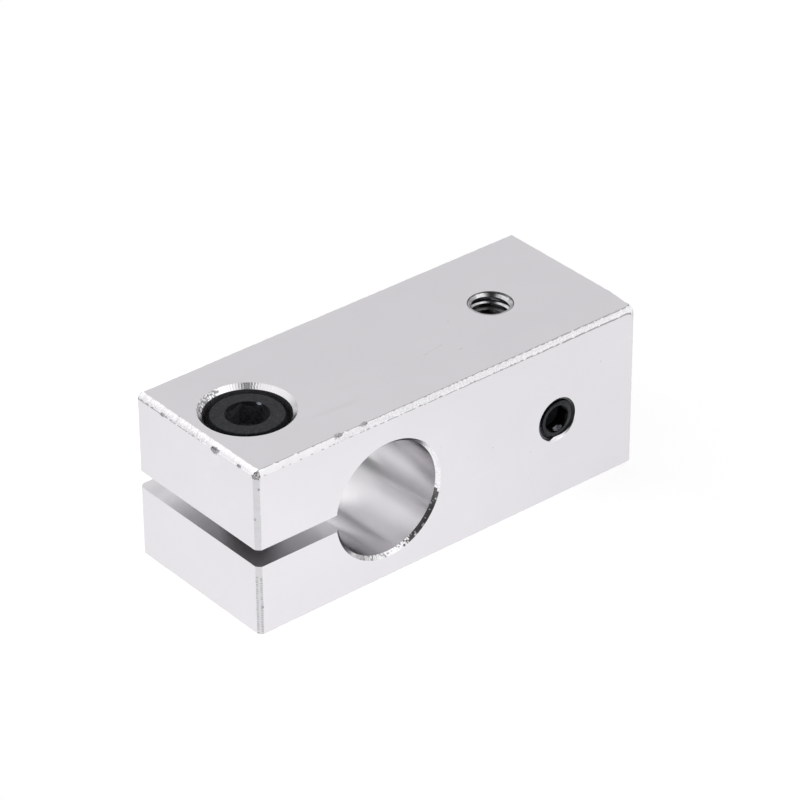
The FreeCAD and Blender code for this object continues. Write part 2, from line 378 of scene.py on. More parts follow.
# Bare metal finishes: sizes and depths in millimetres. across is the direction across the tool marks.
# What a finish doesn't say is as in plainMetal.
plainMetal = {"tint": (1.0, 0.985, 1.01), "grain": 0.15, "depth": 0.002}
metalFinishes = {
    "satinAluminium": {
        "tone": 0.77, "spread": 0.02, "tint": (1.0, 0.978, 1.014), "rough": (0.36, 0.44), "cloud": 7.0,
        "grain": 0.12, "depth": 0.0006,
        "scratches": 0.10, "specks": 0.5, "speckApart": 2.4, "speckTone": 0.35,
    },
    "brokenEdge": {
        "tone": 0.90, "spread": 0.04, "rough": (0.20, 0.32), "cloud": 2.0, "grain": 0.18, "depth": 0.004,
    },
    "chatteredEdge": {"tone": 0.84, "spread": 0.22, "rough": (0.18, 0.32), "cloud": 0.24, "depth": 0.006},
    # Painted shade: a darker copy of the broken edge for the upright edges.
    "uprightEdge": {
        "tone": 0.65, "spread": 0.03, "rough": (0.34, 0.46), "cloud": 2.0, "grain": 0.18, "depth": 0.003,
    },
    # Painted shade: dark lines along the borders of broken edges for the shaded side of their burrs. Also the
    # scuffs on the counterbore's rim, the faint part of the cross bore rim's painted reflection and the wall
    # of the side hole's mouth.
    "burrLine": {"tone": 0.42, "spread": 0.10, "rough": (0.36, 0.50), "cloud": 1.0},
    "dentedMetal": {
        "tone": 0.62, "spread": 0.14, "rough": (0.30, 0.50), "cloud": 0.4, "grain": 0.12, "depth": 0.006,
    },
    "scratchedMetal": {"tone": 0.69, "spread": 0.05, "rough": (0.34, 0.46), "cloud": 0.5, "grain": 0.12},
    "boreRim": {
        "tone": 0.80, "spread": 0.20, "rough": (0.14, 0.26), "cloud": 0.20, "grain": 0.12, "depth": 0.004,
    },
    "turnedRim": {"tone": 0.86, "spread": 0.04, "rough": (0.14, 0.24), "cloud": 2.0},
    "crossBoreWall": {
        "tone": 0.71, "spread": 0.04, "rough": (0.14, 0.22), "cloud": 4.0,
        "across": (0.0, 1.0, 0.0), "apart": 0.10, "depth": 0.003,
    },
    "endBoreWall": {
        "tone": 0.77, "spread": 0.04, "rough": (0.10, 0.17), "cloud": 4.0,
        "across": (1.0, 0.0, 0.0), "apart": 0.10, "depth": 0.003,
    },
    "slitWall": {
        "tone": 0.82, "spread": 0.03, "rough": (0.28, 0.38), "cloud": 4.0,
        "across": (0.0, 1.0, 0.0), "apart": 0.12, "depth": 0.003,
    },
    "screwHoleWall": {
        "tone": 0.82, "spread": 0.03, "rough": (0.30, 0.45), "cloud": 4.0,
        "across": (0.0, 0.0, 1.0), "apart": 0.10,
    },
    "tappedWall": {"tone": 0.52, "spread": 0.40, "rough": (0.10, 0.17), "cloud": 0.5},
    # Painted shade: near-black metal for the deep threads, the rim of the top hole, the floor of the side
    # hole's deeper start, and the painted dark reflection on the cross bore's front rim.
    "dirtyMetal": {"tone": 0.12, "spread": 0.09, "rough": (0.26, 0.40), "cloud": 0.5},
}

def makeMetal(name):
    form = {**plainMetal, **metalFinishes[name]}
    material, tree, shader = newMaterial(name)
    grain = placeGrain(tree, form)
    low, high = (grey(form["tone"] + side * form["spread"], form["tint"]) for side in (-1, 1))
    tone = mixTones(tree, grain["Cloud"], low, high)
    roughness = mapTo(tree, grain["Grain"], *form["rough"])
    height = grain["Grain"]
    if "scratches" in form:
        tone, scratches = addScuffs(tree, tone, form)
        roughness = calculate(tree, "SUBTRACT", roughness, scratches)
    if "across" in form:
        marks = {"Across": form["across"], "Spacing": form["apart"]}
        height = placeGroup(tree, toolGroup, marks)["Marks"]
    feedShader(tree, shader, tone, roughness, height, form["depth"])
    shader.inputs["Metallic"].default_value = 1.0
    return material

# Black oxide: tones from its darkest to its lightest patches, shine, and specks of bare metal. blackOxide is
# the plain oxide; the others are copies of it in other tones.
oxideFinishes = {
    "blackOxide": {"tones": (0.001, 0.018), "shine": 0.25, "specks": 0.8},
    # Painted light: a lighter copy for the clamp screw's socket and knurls, so these shaded places come out
    # brighter.
    "socketOxide": {"tones": (0.030, 0.070), "shine": 0.14, "specks": 0.0},
    # A light diffuse copy for small spots: painted glints on the clamp screw's socket mouth and a lighter spot
    # in the set screw's socket.
    "wornOxide": {"tones": (0.14, 0.42), "shine": 0.50, "specks": 0.0},
    # Painted shade: a near-black copy for the lower part of the clamp screw's bevel, the socket mouths and the
    # set screw's socket.
    "oilyOxide": {"tones": (0.001, 0.006), "shine": 0.08, "specks": 0.0},
}
plainOxide = {
    "tint": (0.95, 1.0, 1.12),
    "sheen": (0.88, 0.91, 1.0, 1.0),
    "rough": (0.30, 0.46),
    "grain": 0.12,
    "cloud": 0.35,
    "cloudRange": (0.36, 0.64),
    "depth": 0.002,
    "scratches": 0.0,
    "speckTone": 0.20,
    "speckApart": 0.9,
}

def makeBlackOxide(name):
    form = {**plainOxide, **oxideFinishes[name]}
    material, tree, shader = newMaterial(name)
    grain = placeGrain(tree, form)
    low, high = (grey(level, form["tint"]) for level in form["tones"])
    cloud = mapTo(tree, grain["Cloud"], 0.0, 1.0, *form["cloudRange"])
    tone, scratches = addScuffs(tree, mixTones(tree, cloud, low, high), form)
    roughness = mapTo(tree, grain["Grain"], *form["rough"])
    feedShader(tree, shader, tone, roughness, grain["Grain"], form["depth"])
    shader.inputs["Specular IOR Level"].default_value = form["shine"]
    shader.inputs["Specular Tint"].default_value = form["sheen"]
    return material

blockFinishes = [makeMetal(name) for name in metalFinishes]
slotOf = {name: index for index, name in enumerate(metalFinishes)}
screwFinishes = [makeBlackOxide(name) for name in oxideFinishes]
headSlot, litRecessSlot, glintAndSpotSlot, shadedSlot = range(len(screwFinishes))
print("materials made:", ", ".join(material.name for material in blockFinishes + screwFinishes))

# The block

blockForm = {
    "edgeStep": 0.065,  # stations along an edge
    "edgeRows": (0.0, 0.09, 0.18, 0.34, 0.50, 0.66, 0.82, 0.91, 1.0),
    "edgeRound": 0.22,  # 0 for a flat edge, 1 for a full round
    "edgeCalm": 0.6,  # even length at each end of an edge
    "ripple": 0.045,  # unevenness of an edge's borders
    "beads": 0.020,  # unevenness of the broken edge itself
    "chatter": 0.012,  # waves left across an edge by the tool
    "chatterApart": 0.28,
    "boreRim": 0.4,
    "boreRimRows": (0.0, 0.3, 0.6, 1.1),
    "boreSegments": 720,
    "rimChatter": 0.010,
    "slitWidth": 2.0,
    "headHeight": 5.0,  # of the clamp screw, above its seat
    "headClearance": 0.4,
    "seatRim": 0.5,
    "seatRimRows": (0.0, 0.18, 0.36, 0.54, 0.72, 0.90, 1.08),
    "shankClearance": 0.3,
    "lowerMouth": 0.1,
    "mouthSegments": 192,
    "mouthInset": 0.02,  # a plain start is this much narrower than the groove
    "topMouth": 0.12,  # plain start of the tapped holes, and their broken rims
    "topRim": 0.10,
    "sideMouth": 0.40,
    "sideRim": 0.05,
    "sideGrowth": 0.03,  # the front hole's plain start is wider than its groove
    "drillPoint": 118.0,
    "sharpAngle": 28.0,
}
headSeat = screwHigh.z - blockForm["headHeight"]

# Broken edges by their two faces: width on the first face and on the second, and the share of each border that
# is a dark line of painted burr shade; these pairs are for the start and the end of the edge. Chatter is from
# one share to another, and tool ticks are up to a share. What an edge doesn't say is as in plainEdge.
plainEdge = {
    "widths": ((0.5, 0.5), (0.5, 0.5)), "burrs": ((0.3, 0.3), (0.3, 0.3)),
    "chatter": (1.0, 1.0), "ticks": 0.0,
}
edgeForms = {
    ("left", "front"): {"burrs": ((0.0, 0.0), (0.0, 0.0)), "ticks": 0.37},
    ("left", "top"): {
        "widths": ((0.52, 0.58), (0.68, 0.72)), "burrs": ((0.2, 0.9), (0.0, 0.2)), "chatter": (0.4, 1.0),
    },
    ("front", "top"): {
        "widths": ((0.66, 0.90), (0.40, 0.24)), "burrs": ((0.3, 1.1), (0.7, 1.0)), "chatter": (0.2, 1.0),
    },
}
# Corners that are worn further than their edges.
cornerWear = {("left", "front", "top"): 0.08, ("right", "front", "top"): 0.22}
# An edge filed off at one end: its two faces, the end of it, length and depth.
filedEdge = ("right", "top", -10.0, 3.4, 0.55)

# Dents in the edges: the two faces, place along the edge, half width, depth, lean towards the second face.
edgeDents = [
    ("left", "top", -3.3, 0.42, 0.26, -0.8),
    ("left", "top", 5.4, 0.24, 0.12, -0.8),
    ("left", "top", -7.2, 0.20, 0.10, -0.7),
    ("front", "top", -14.8, 0.34, 0.20, 0.7),
    ("front", "top", -11.4, 0.28, 0.16, 0.7),
    ("left", "front", 3.8, 0.14, 0.07, 0.7),
    ("left", "front", 14.4, 0.10, 0.045, -0.6),
    ("left", "front", 18.0, 0.10, 0.045, 0.6),
]
# Marks on the flat faces: the face, place along its two axes, half width, depth, stretch along the first axis
# and finish.
faceMarks = [
    ("top", (1.9, -3.44), 0.16, 0.022, 1.0, "scratchedMetal"),
    ("top", (2.7, -3.32), 0.09, 0.012, 3.0, "scratchedMetal"),
    ("top", (3.5, -3.30), 0.06, 0.008, 4.0, "scratchedMetal"),
    ("top", (4.1, -3.16), 0.10, 0.012, 1.6, "scratchedMetal"),
    ("top", (5.4, -5.00), 0.14, 0.018, 1.0, "scratchedMetal"),
    ("front", (20.5, 14.8), 0.07, 0.030, 0.2, "dentedMetal"),
    ("front", (5.5, 10.2), 0.06, 0.020, 0.2, "dentedMetal"),
    ("front", (2.1, 10.4), 0.06, 0.020, 0.2, "dentedMetal"),
]
cornerDent = {"corner": ("left", "front", "top"), "inset": 0.31, "halfWidth": 0.44, "depth": 0.20}
# The scuffed part of the counterbore's rim, in degrees from +X.
rimScuff = {"start": 88.0, "stop": 150.0, "fade": 10.0, "depth": 0.12}
# The lip where the side thread starts, in degrees from +X: it rises, is full, and fades out.
sideLip = {"start": -112.0, "full": -100.0, "fade": -85.0, "end": -42.0, "depth": 0.12, "reach": 0.4}
# The part of the cross bore's front rim with a painted dark reflection, likewise: it starts, is full, fades,
# and goes on faintly.
paintedRimReflection = {
    "start": -4.0, "full": -28.0, "fade": -54.0, "end": -76.0, "faintEnd": -130.0,
    "faint": 0.36, "most": 0.74,  # shares that are covered
}

# Each face's axis and side.
faceSides = {
    "left": (0, -1), "right": (0, 1),
    "front": (1, -1), "back": (1, 1),
    "bottom": (2, -1), "top": (2, 1),
}

def faceAt(name):
    axis, sign = faceSides[name]
    return (blockHigh if sign > 0 else blockLow)[axis]

# The two faces that a direction runs between.
def facesAcross(axis):
    return [name for name in faceSides if faceSides[name][0] == axis]

# The direction of the edge between two faces.
def runOf(first, second):
    return 3 - faceSides[first][0] - faceSides[second][0]

# A vector from its parts by axis.
def byAxis(parts):
    vector = Vector()
    for axis, part in parts.items():
        vector[axis] = part
    return vector

def edgeForm(first, second):
    return {**plainEdge, **(edgeForms.get((first, second)) or edgeForms.get((second, first), {}))}

# Width of the broken edge on one of its faces, share being the place along it.
def edgeWidth(face, other, share):
    names = list(faceSides)
    onFirst = names.index(face) < names.index(other)
    start, stop = edgeForm(face, other)["widths"][0 if onFirst else 1]
    return start + (stop - start) * share

# How much wider the filed edge is at one place.
def filedOff(first, second, along):
    filedFirst, filedSecond, place, length, depth = filedEdge
    if {filedFirst, filedSecond} != {first, second}:
        return 0.0
    share = max(0.0, 1.0 - ((along - place) / length) ** 2)
    return depth / 2 * share * (1.0 + 0.3 * uneven(along * 6.0, 3.0, 0.0))

# How strongly the tool chattered along an edge: in patches, and on the lower half of an upright edge.
def chatterShare(runAxis, along, seed):
    if runAxis == 2:
        return min(1.0, max(0.15, (11.0 - along) / 3.0))
    return min(1.0, max(0.2, 0.6 + 1.2 * uneven(along * 0.35, seed * 3.0, 2.0)))

# Where a face ends at one of its corners.
def cornerPlace(face, trio):
    place = Vector()
    for other in trio:
        axis, sign = faceSides[other]
        inset = 0.0
        if other != face:
            third = next(name for name in trio if name not in (face, other))
            share = 0.0 if faceSides[third][1] < 0 else 1.0
            inset = edgeWidth(face, other, share) + cornerWear.get(trio, 0.0)
        place[axis] = faceAt(other) - sign * inset
    return place

# Where a face ends along the broken edge to another face: even at the corners, uneven between them.
def borderPlace(face, other, begin, end, share, calm, ripple):
    axis, sign = faceSides[other]
    place = begin.lerp(end, share)
    along = place[runOf(face, other)]
    wide = edgeWidth(face, other, share) + filedOff(face, other, along)
    wide += blockForm["ripple"] * uneven(along * 1.7, *ripple)
    inset = abs(place[axis] - faceAt(other))
    place[axis] = faceAt(other) - sign * (inset + (wide - inset) * calm)
    return place

# The vertices of a broken edge: a row across it at each station, between the corners given.
def edgeStations(bm, first, second, seed, cornerPairs):
    (axisA, signA), (axisB, signB) = faceSides[first], faceSides[second]
    runAxis = runOf(first, second)
    inward = byAxis({axisA: -signA, axisB: -signB}).normalized()
    length = blockHigh[runAxis] - blockLow[runAxis]
    count = round(length / blockForm["edgeStep"])
    even = blockForm["edgeCalm"]
    stations = []
    for i in range(count + 1):
        share = i / count
        calm = min(1.0, share * length / even, (1.0 - share) * length / even)
        if i in (0, count):
            ridge = cornerPairs[0 if i == 0 else 1]
        else:
            ridge = []
            for side, (face, other, seat) in enumerate(((first, second, 0.5), (second, first, 9.5))):
                begin, end = (pair[side].co for pair in cornerPairs)
                place = borderPlace(face, other, begin, end, share, calm, (seed * 7.0, seat))
                ridge.append(bm.verts.new(place))
        along = (ridge[0].co[runAxis] + ridge[1].co[runAxis]) / 2
        middle = (ridge[0].co + ridge[1].co) / 2
        peak = middle.copy()
        peak[axisA] = faceAt(first)
        peak[axisB] = faceAt(second)
        bulge = (peak - middle) * blockForm["edgeRound"] / 2
        drift = 1.5 * uneven(along * 0.8, seed * 4.0, 6.0)
        wave = 0.5 + 0.5 * math.sin(2 * math.pi * along / blockForm["chatterApart"] + drift)
        wave *= chatterShare(runAxis, along, seed) * blockForm["chatter"]
        across = [ridge[0]]
        for part in blockForm["edgeRows"][1:-1]:
            place = ridge[0].co.lerp(ridge[1].co, part) + bulge * 4 * part * (1.0 - part)
            bead = uneven(along * 6.5, part * 6.0, seed * 5.0)
            sink = calm * (blockForm["beads"] * (0.6 + bead) + wave)
            across.append(bm.verts.new(place + inward * sink))
        stations.append(across + [ridge[1]])
    return stations

# The faces of a broken edge: dark lines of painted burr shade and ticks near its borders, and chattered
# stretches.
def coverEdge(bm, first, second, seed, stations):
    form = edgeForm(first, second)
    runAxis = runOf(first, second)
    # Upright edges take the darker copy, painted shade.
    evenSlot = slotOf["uprightEdge" if runAxis == 2 else "brokenEdge"]
    chatterFrom, chatterTo = form["chatter"]
    count = len(stations) - 1
    lastRow = len(blockForm["edgeRows"]) - 2
    for i, (here, there) in enumerate(zip(stations, stations[1:])):
        for row in range(lastRow + 1):
            face = bm.faces.new((here[row], here[row + 1], there[row + 1], there[row]))
            fromBorder = min(row, lastRow - row)
            side = 0 if row < lastRow / 2 else 1
            begin, end = form["burrs"][side]
            burrShadeShare = begin + (end - begin) * i / count - 0.4 * fromBorder
            along = here[row].co[runAxis]
            patch = 0.5 + 0.8 * uneven(along * 2.2, side * 5.0, seed * 3.0)
            chattered = chatterFrom < i / count + 0.2 * (patch - 0.5) < chatterTo
            drift = 0.6 * uneven(along * 1.5, row * 2.0, 5.0)
            wave = (along / blockForm["chatterApart"] + 0.4 * side + drift) % 1.0
            ticked = i / count < form["ticks"] and fromBorder < 3 and wave < 0.2 + 0.5 * patch
            if ticked or fromBorder < 2 and patch < burrShadeShare:
                face.material_index = slotOf["burrLine"]
            else:
                face.material_index = slotOf["chatteredEdge"] if chattered else evenSlot

# The bar with broken edges: six flat faces, a beaded strip along each edge, a facet at each corner.
def wornBar():
    bm = bmesh.new()
    allTrios = list(product(*(facesAcross(axis) for axis in range(3))))
    corners = {(face, trio): bm.verts.new(cornerPlace(face, trio)) for trio in allTrios for face in trio}
    borders = {}
    facets = {}
    for seed, (first, second) in enumerate(combinations(faceSides, 2)):
        if faceSides[first][0] == faceSides[second][0]:
            continue
        trios = [trio for trio in allTrios if first in trio and second in trio]
        cornerPairs = [[corners[first, trio], corners[second, trio]] for trio in trios]
        stations = edgeStations(bm, first, second, seed, cornerPairs)
        coverEdge(bm, first, second, seed, stations)
        borders[first, second] = [across[0] for across in stations]
        borders[second, first] = [across[-1] for across in stations]
        for trio, across in zip(trios, (stations[0], stations[-1])):
            facets[trio, first, second] = across
            facets[trio, second, first] = across[::-1]
    for trio in allTrios:
        loop = []
        for here, there in zip(trio, trio[1:] + trio[:1]):
            loop += facets[trio, here, there][:-1]
        middle = sum((vert.co for vert in loop), Vector()) / len(loop)
        closeFan(bm, loop, middle, slotOf["brokenEdge"])
    for name, (axis, sign) in faceSides.items():
        (start, stop), (low, high) = (facesAcross(other) for other in range(3) if other != axis)
        outline = borders[name, low][:-1] + borders[name, stop][:-1]
        outline += borders[name, high][:0:-1] + borders[name, start][:0:-1]
        bm.faces.new(outline).material_index = slotOf["satinAluminium"]
    bmesh.ops.recalc_face_normals(bm, faces=bm.faces)
    return bm

# A dent: a ragged lump, stretched along one direction, that bites into a surface at a place.
def dent(place, outward, along, halfWidth, depth, slot, stretch=0.6):
    radius = (halfWidth ** 2 + depth ** 2) / (2 * depth)
    bm = bmesh.new()
    bmesh.ops.create_icosphere(bm, subdivisions=5, radius=radius)
    for vert in bm.verts:
        ragged = noise.noise(vert.co * 2.4 / halfWidth + place)
        ragged += 0.6 * noise.noise(vert.co * 6.0 / halfWidth + place)
        vert.co *= 1.0 + 0.55 * depth / radius * ragged
        vert.co += along * vert.co.dot(along) * stretch
    for face in bm.faces:
        face.material_index = slot
    return bm, standOn(*(place + outward.normalized() * (radius - depth)))

def edgeDent(first, second, along, halfWidth, depth, lean):
    (axisA, signA), (axisB, signB) = faceSides[first], faceSides[second]
    runAxis = runOf(first, second)
    where = (along - blockLow[runAxis]) / (blockHigh[runAxis] - blockLow[runAxis])
    share = (1.0 + lean) / 2
    place = byAxis({
        runAxis: along,
        axisA: faceAt(first) - signA * edgeWidth(second, first, where) * share,
        axisB: faceAt(second) - signB * edgeWidth(first, second, where) * (1.0 - share),
    })
    outward = byAxis({axisA: signA * (1.0 - lean / 2), axisB: signB * (1.0 + lean / 2)})
    return dent(place, outward, byAxis({runAxis: 1.0}), halfWidth, depth, slotOf["dentedMetal"])

def faceMark(face, spot, halfWidth, depth, stretch, finish):
    axis, sign = faceSides[face]
    first, second = [other for other in range(3) if other != axis]
    place = byAxis({axis: faceAt(face), first: spot[0], second: spot[1]})
    return dent(place, byAxis({axis: sign}), byAxis({first: 1.0}), halfWidth, depth, slotOf[finish], stretch)

def makeCornerDent():
    form = cornerDent
    sides = {name: faceSides[name] for name in form["corner"]}
    place = byAxis({axis: faceAt(name) - sign * form["inset"] for name, (axis, sign) in sides.items()})
    outward = byAxis(dict(sides.values()))
    return dent(place, outward, byAxis({2: 1.0}), form["halfWidth"], form["depth"], slotOf["tappedWall"])

# An angle in degrees from -180 to 180.
def signedTurn(angle):
    return (math.degrees(angle) + 180) % 360 - 180

# Chatter round a rim, in patches, on the rows given; a scuffed rim has its ragged part too.
def rimSway(radius, rows, scuffed=False):
    waves = round(2 * math.pi * radius / blockForm["chatterApart"])

    def sway(row, angle):
        if row not in rows:
            return 0.0
        patch = 0.8 + uneven(3 * math.cos(angle), 3 * math.sin(angle), radius)
        drift = 2.0 * uneven(5 * math.cos(angle), 5 * math.sin(angle), row * 0.7)
        moved = blockForm["rimChatter"] * patch * math.sin(waves * angle + drift)
        if scuffed:
            turn = math.degrees(angle)
            inside = min(turn - rimScuff["start"], rimScuff["stop"] - turn) / rimScuff["fade"]
            ragged = uneven(angle * radius * 4.5, row * 1.3, 4.0)
            moved += rimScuff["depth"] * min(1.0, max(0.0, inside)) * ragged
        return moved

    return sway

def scuffedFinish(radius, row):
    def slot(angle):
        inside = rimScuff["start"] < math.degrees(angle) < rimScuff["stop"]
        scuffed = inside and uneven(angle * radius * 3.0, row * 0.8, 9.0) > 0.0
        return slotOf["burrLine" if scuffed else "turnedRim"]

    return slot

# Painted reflection: near-black and darker patches on the cross bore's front rim stand in for a dark
# reflection.
def reflectedRimFinish(radius, row):
    def slot(angle):
        turn = signedTurn(angle)
        rise = (turn - paintedRimReflection["start"]) / (paintedRimReflection["full"] - paintedRimReflection["start"])
        fall = (turn - paintedRimReflection["end"]) / (paintedRimReflection["fade"] - paintedRimReflection["end"])
        patch = 0.5 + 0.8 * uneven(angle * radius * 4.0, row * 1.7, 7.0)
        faint = paintedRimReflection["faintEnd"] < turn < paintedRimReflection["fade"] and patch < paintedRimReflection["faint"]
        darkReflection = patch < min(1.3 * rise, 1.3 * fall, paintedRimReflection["most"])
        return slotOf["dirtyMetal" if darkReflection else "burrLine" if faint else "boreRim"]

    return slot

# A bore's cutter with a chamfered mouth at its high end, and another or a drill point at its low end.
def boreCutter(radius, low, high, wall, openLow=True, darkReflection=False):
    rim = blockForm["boreRim"]
    rimSlot = slotOf["boreRim"]
    rise = [(radius + rim * share, rim * (1.0 - share)) for share in blockForm["boreRimRows"]]
    rise.append((radius + rim + overrun, -overrun))
    profile = [(0, high + overrun)] + [(reach, high - inset) for reach, inset in reversed(rise)]
    # The cross bore's front rim carries the painted dark reflection.
    finishes = [reflectedRimFinish(radius, row) if darkReflection else rimSlot for row in range(len(rise))] + [wall]
    rippledRows = [2, 3, 4]
    if openLow:
        profile += [(reach, low + inset) for reach, inset in rise] + [(0, low - overrun)]
        finishes += [rimSlot] * len(rise)
        rippledRows += [7, 8, 9]
    else:
        point = radius / math.tan(math.radians(blockForm["drillPoint"] / 2))
        profile += [(radius, low), (0, low - point)]
        finishes += [wall]
    return turnedSolid(profile, blockForm["boreSegments"], finishes, rimSway(radius, rippledRows))

# Both bores and the slit.
def boreCuts():
    halfWidth = (blockHigh.y - blockLow.y) / 2
    wall = slotOf["crossBoreWall"]
    crossBore = boreCutter(mountSize("cross_bore", "r_mm"), -halfWidth, halfWidth, wall, darkReflection=True)
    boreEnd = endAxis.x - mountSize("end_bore", "length_mm") / 2
    endBore = boreCutter(mountSize("end_bore", "r_mm"), boreEnd, blockHigh.x, slotOf["endBoreWall"], False)
    ends = (blockLow.x - overrun, crossAxis.x)
    half = blockForm["slitWidth"] / 2
    low, high = crossAxis.z - half, crossAxis.z + half
    outline = [(ends[0], low), (ends[1], low), (ends[1], high), (ends[0], high)]
    slit = prism(outline, -halfWidth - overrun, halfWidth + overrun, slotOf["slitWall"])
    return [
        (crossBore, standOn(crossAxis.x, 0, crossAxis.z) @ towardsFront),
        (endBore, standOn(0, 0, endAxis.z) @ alongX),
        (slit, towardsFront),
    ]

# A thread cutter; below the height given the thread has painted shade.
def tap(bottom, top, crestAt, outer=threadForm["tapOuter"], shares=threadForm["shares"], shadeBelow=-1.0):
    def finish(height):
        return slotOf["tappedWall" if height > shadeBelow else "dirtyMetal"]

    return threadedRod(outer, threadForm["tapInner"], bottom, top, crestAt, finish, shares)

# The plain start of a tapped hole; the finishes are for its broken rim, its wall and the ledge below it.
def tapMouth(face, depth, outer, rim, finishes):
    radius = outer - blockForm["mouthInset"]
    rimSlot, wall, ledge = (name if callable(name) else slotOf[name] for name in finishes)
    profile = [(0, face + overrun), (radius + rim + overrun, face + overrun), (radius, face - rim),
               (radius, face - depth), (0, face - depth)]
    return turnedSolid(profile, blockForm["mouthSegments"], [rimSlot, rimSlot, wall, ledge])

# The clamp screw's hole: counterbored and clear in the upper jaw, tapped through the lower jaw.
def screwHoleCuts():
    top = blockHigh.z
    wall = headRadius + blockForm["headClearance"]
    clear = threadForm["rodOuter"] + blockForm["shankClearance"]
    rim = blockForm["seatRim"]
    profile = [(0, crossAxis.z), (clear, crossAxis.z), (clear, headSeat), (wall, headSeat)]
    profile += [(wall + rim * share, top - rim * (1 - share)) for share in blockForm["seatRimRows"]]
    profile += [(wall + rim + overrun, top + overrun), (0, top + overrun)]
    finishes = [slotOf["screwHoleWall"]] * 4 + [scuffedFinish(wall, row) for row in range(len(profile) - 5)]
    hole = turnedSolid(profile, blockForm["boreSegments"], finishes, rimSway(wall, range(5, 11), True))
    mouth = threadForm["tapOuter"] + blockForm["lowerMouth"]
    crest = threadForm["tapInner"]
    profile = [(0, -overrun), (mouth + overrun, -overrun), (crest, mouth - crest), (0, mouth - crest)]
    lowerMouth = turnedSolid(profile, threadForm["segments"], [slotOf["turnedRim"]] * 3)
    lowerTap = tap(-overrun, crossAxis.z, screwLow.z)
    return [(shape, screwPlace) for shape in (hole, lowerMouth, lowerTap)]

# The empty tapped hole in the top face.
def topHoleCuts():
    top = blockHigh.z
    outer = threadForm["topOuter"]
    # The rim and the deeper threads of this hole have painted shade.
    finishes = ("dirtyMetal", "tappedWall", "tappedWall")
    mouth = tapMouth(top, blockForm["topMouth"], outer, blockForm["topRim"], finishes)
    crestAt = top - threadForm["topGroove"] - threadForm["pitch"] * threadForm["farAngle"] / 360
    shadeBelow = top - threadForm["cleanDepth"]
    thread = tap(endAxis.z, top + overrun, crestAt, outer, threadForm["topShares"], shadeBelow)
    return [(shape, standOn(tapAxis.x, tapAxis.y, 0)) for shape in (mouth, thread)]

# How much of the side lip stands at an angle.
def lipShare(angle):
    turn = signedTurn(angle)
    rise = (turn - sideLip["start"]) / (sideLip["full"] - sideLip["start"])
    fall = (sideLip["end"] - turn) / (sideLip["end"] - sideLip["fade"])
    return max(0.0, min(1.0, rise, fall))

def lipWall(angle):
    return slotOf["turnedRim" if lipShare(angle) > 0 else "burrLine"]

# A deeper start that leaves the lip standing.
def lippedMouth(face, outer):
    radius = outer - blockForm["mouthInset"] / 2
    depth = blockForm["sideMouth"]

    def sway(row, angle):
        return -sideLip["reach"] * lipShare(angle)

    profile = [(0, face + overrun), (radius, face + overrun), (radius, face - depth), (0, face - depth)]
    # The floor of this deeper start has painted shade.
    finishes = [slotOf["burrLine"], slotOf["burrLine"], slotOf["dirtyMetal"]]
    return turnedSolid(profile, blockForm["mouthSegments"], finishes, sway)

# Height of the side thread and its screw: a crest runs out at the front face where the thread starts.
sideTurn = threadForm["shares"][2] - threadForm["shares"][0] / 2 + sideLip["start"] / 360 + 1
sideCrest = -blockLow.y - sideLip["depth"] - threadForm["pitch"] * sideTurn

# The set screw's hole in the front face.
def sideHoleCuts():
    face = -blockLow.y
    outer = threadForm["tapOuter"] + blockForm["sideGrowth"]
    finishes = ("turnedRim", lipWall, "turnedRim")
    mouth = tapMouth(face, sideLip["depth"], outer, blockForm["sideRim"], finishes)
    # The thread behind the lip has painted shade.
    thread = tap(0, face + overrun, sideCrest, shadeBelow=face - sideLip["depth"])
    return [(shape, setPlace) for shape in (mouth, lippedMouth(face, outer), thread)]

def makeBlock():
    block = makeObject("clampBlock", wornBar(), blockFinishes)
    holes = boreCuts() + screwHoleCuts() + topHoleCuts() + sideHoleCuts()
    dents = [edgeDent(*form) for form in edgeDents] + [faceMark(*form) for form in faceMarks]
    carve(block, holes + dents + [makeCornerDent()])
    finishMesh(block, blockForm["sharpAngle"], slotOf["satinAluminium"])
    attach(block, "block")
    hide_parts("clamp_body")

makeBlock()

# The screws

socketForm = {
    "above": (0.5, 0.2),  # how far the key and its countersink start above the end
    "drillShare": 0.98,  # of the key
    "drillPoint": 120.0,
    "drillStart": 0.1,  # above the bottom of the key
    # The light spots are painted glints on the clamp screw and a lighter spot on the set screw.
    "markStretch": 0.2,  # of the worn spots, round the screw
}
clampScrewForm = {
    "headChamfer": 0.45,
    "chamferRound": (0.85, 0.15),
    "seatChamfer": 0.15,
    "knurls": 40,
    "knurlSteps": 6,
    "knurlDepth": 0.15,
    "knurlStart": 0.1,
    "plainBand": 0.5,
    "key": 4.0,
    "keyDepth": 2.5,
    "keyTurn": 11.0,
    "keyCorner": 0.12,
    "mouthRim": 0.02,
    # The socket's mouth has the near-black oxide, painted shade, and its key the lighter oxide, painted light.
    "mouthSlot": shadedSlot,
    "keySlot": litRecessSlot,
    "neck": 0.9,
    "shankInHead": 0.5,
    # light spots cut as small dents, here a painted glint on the socket's mouth: angle, radius, depth below
    # the end, half width and depth of the mark, facing the end
    "wornSpots": [(21.0, 2.28, 0.0, 0.28, 0.09, 1.2)],
}

